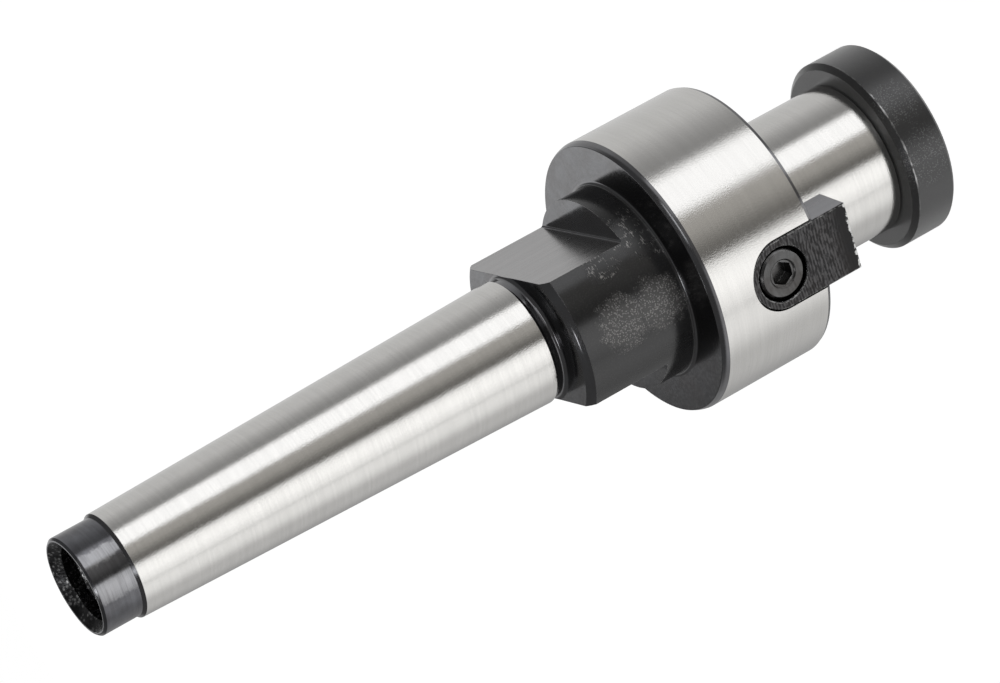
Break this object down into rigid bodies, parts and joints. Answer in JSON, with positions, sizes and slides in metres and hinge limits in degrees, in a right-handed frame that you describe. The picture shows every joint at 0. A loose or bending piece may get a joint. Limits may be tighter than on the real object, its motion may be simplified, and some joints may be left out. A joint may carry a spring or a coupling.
{
  "type": "face mill arbor",
  "caption": "Face mill arbor with a Morse taper shank and draw thread, spanner flats, a keyed flange, a pilot and a screw that clamps the cutter on it.",
  "frame": {"origin": "on the arbor's axis at the flange's front face, where the cutter seats", "axes": "+Z along the axis towards the shank, +X through the middle of one drive key"},
  "size_m": [0.04, 0.04, 0.1324],
  "materials": {
    "ground_steel": "ground bright on the taper, flange rim, seat and pilot, black oxide elsewhere",
    "blackened_head": "satin black oxide",
    "blackened_key": "milled, dark grey oxide",
    "blackened_screw": "black oxide, worn bright at the rims"
  },
  "bodies": {
    "arbor": {"arbor_body": "ground_steel", "drive_key_front": "blackened_key", "drive_key_rear": "blackened_key", "key_screw_front": "blackened_screw", "key_screw_rear": "blackened_screw"},
    "clamp": {"clamping_screw": "blackened_head"}
  },
  "joints": [
    {"name": "clamping_screw_travel", "type": "slide", "parent": "arbor", "child": "clamp", "axis": [0, 0, -1], "range_m": [0, 0.024]}
  ]
}
